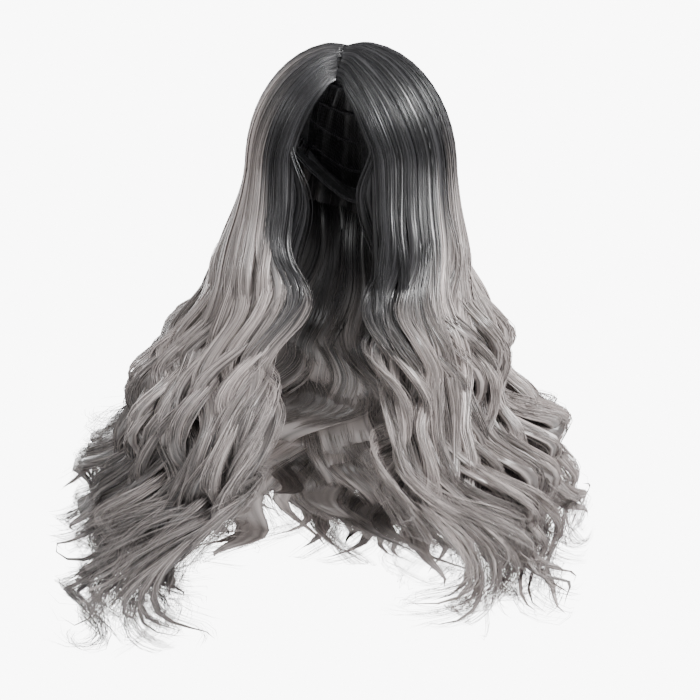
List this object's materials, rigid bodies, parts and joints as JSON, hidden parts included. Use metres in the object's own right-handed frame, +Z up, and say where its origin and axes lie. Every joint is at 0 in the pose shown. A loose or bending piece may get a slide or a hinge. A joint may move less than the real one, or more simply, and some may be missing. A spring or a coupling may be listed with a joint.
{
  "type": "costume wig",
  "caption": "Long wavy wig with a centre parting and dark roots that fade to silver, on an open net cap with wefts, tapes, ear tabs and elastic adjusters with hooks.",
  "frame": {"origin": "the middle of the head that fills the cap, midway between the ears and level with their tops; the head is what holds the wig up", "axes": "+Z up through the crown, -Y the way the wearer's face looks, +X the wearer's left"},
  "size_m": [0.5654, 0.3244, 0.6515],
  "materials": {
    "root_hair": "glossy synthetic fibre, charcoal at the parting",
    "silver_hair": "glossy synthetic fibre, silver grey",
    "weft": "machine-sewn weft, stitched edge",
    "net": "open elastic net",
    "lining": "soft matte lining cloth",
    "elastic": "ribbed elastic tape",
    "parting_base": "fine dark monofilament cloth",
    "stay": "translucent flexible strip",
    "hook": "smooth black moulding"
  },
  "bodies": {
    "cap": {"net_cap": "net", "front_band": "lining", "nape_band": "elastic", "left_ear_tab": "lining", "left_tab_stay": "stay", "right_ear_tab": "lining", "right_tab_stay": "stay", "left_back_tape": "elastic", "centre_back_tape": "elastic", "right_back_tape": "elastic", "parting_strip": "parting_base", "crown_whorl": "parting_base", "weft_row_1": "weft", "weft_row_2": "weft", "weft_row_3": "weft", "weft_row_4": "weft", "weft_row_5": "weft", "weft_row_6": "weft", "left_loop_ladder": "elastic", "left_adjuster_strap": "elastic", "right_loop_ladder": "elastic", "right_adjuster_strap": "elastic", "left_top_lock_1": "root_hair", "left_top_lock_2": "root_hair", "left_top_lock_3": "root_hair", "left_top_lock_4": "root_hair", "left_top_lock_5": "root_hair", "right_top_lock_1": "root_hair", "right_top_lock_2": "root_hair", "right_top_lock_3": "root_hair", "right_top_lock_4": "root_hair", "right_top_lock_5": "root_hair", "back_top_lock_1": "root_hair", "back_top_lock_2": "root_hair", "back_top_lock_3": "root_hair", "back_top_lock_4": "root_hair"},
    "left_adjuster": {"left_adjuster_hook": "hook"},
    "right_adjuster": {"right_adjuster_hook": "hook"},
    "left_fall": {"left_fall_lock_1": "silver_hair", "left_fall_lock_2": "silver_hair", "left_fall_lock_3": "silver_hair", "left_fall_lock_4": "silver_hair", "left_fall_lock_5": "silver_hair", "left_under_lock_1": "silver_hair", "left_under_lock_2": "silver_hair"},
    "right_fall": {"right_fall_lock_1": "silver_hair", "right_fall_lock_2": "silver_hair", "right_fall_lock_3": "silver_hair", "right_fall_lock_4": "silver_hair", "right_fall_lock_5": "silver_hair", "right_under_lock_1": "silver_hair", "right_under_lock_2": "silver_hair"},
    "back_fall": {"back_fall_lock_1": "silver_hair", "back_fall_lock_2": "silver_hair", "back_fall_lock_3": "silver_hair", "back_fall_lock_4": "silver_hair", "back_under_lock_1": "silver_hair", "back_under_lock_2": "silver_hair", "back_under_lock_3": "silver_hair"}
  },
  "joints": [
    {"name": "left_fall_swing", "type": "hinge", "parent": "cap", "child": "left_fall", "pos_m": [0.12, 0, -0.008], "axis": [0, -1, 0], "range_deg": [0, 25]},
    {"name": "right_fall_swing", "type": "hinge", "parent": "cap", "child": "right_fall", "pos_m": [-0.12, 0, -0.008], "axis": [0, 1, 0], "range_deg": [0, 25]},
    {"name": "back_fall_swing", "type": "hinge", "parent": "cap", "child": "back_fall", "pos_m": [0, 0.134, -0.018], "axis": [1, 0, 0], "range_deg": [0, 25]},
    {"name": "left_adjuster_slide", "type": "slide", "parent": "cap", "child": "left_adjuster", "axis": [0.3143, -0.7767, 0.5459], "range_m": [-0.006, 0.01], "deforming": ["left_adjuster_strap"]},
    {"name": "right_adjuster_slide", "type": "slide", "parent": "cap", "child": "right_adjuster", "axis": [-0.3143, -0.7767, 0.5459], "range_m": [-0.006, 0.01], "deforming": ["right_adjuster_strap"]}
  ]
}
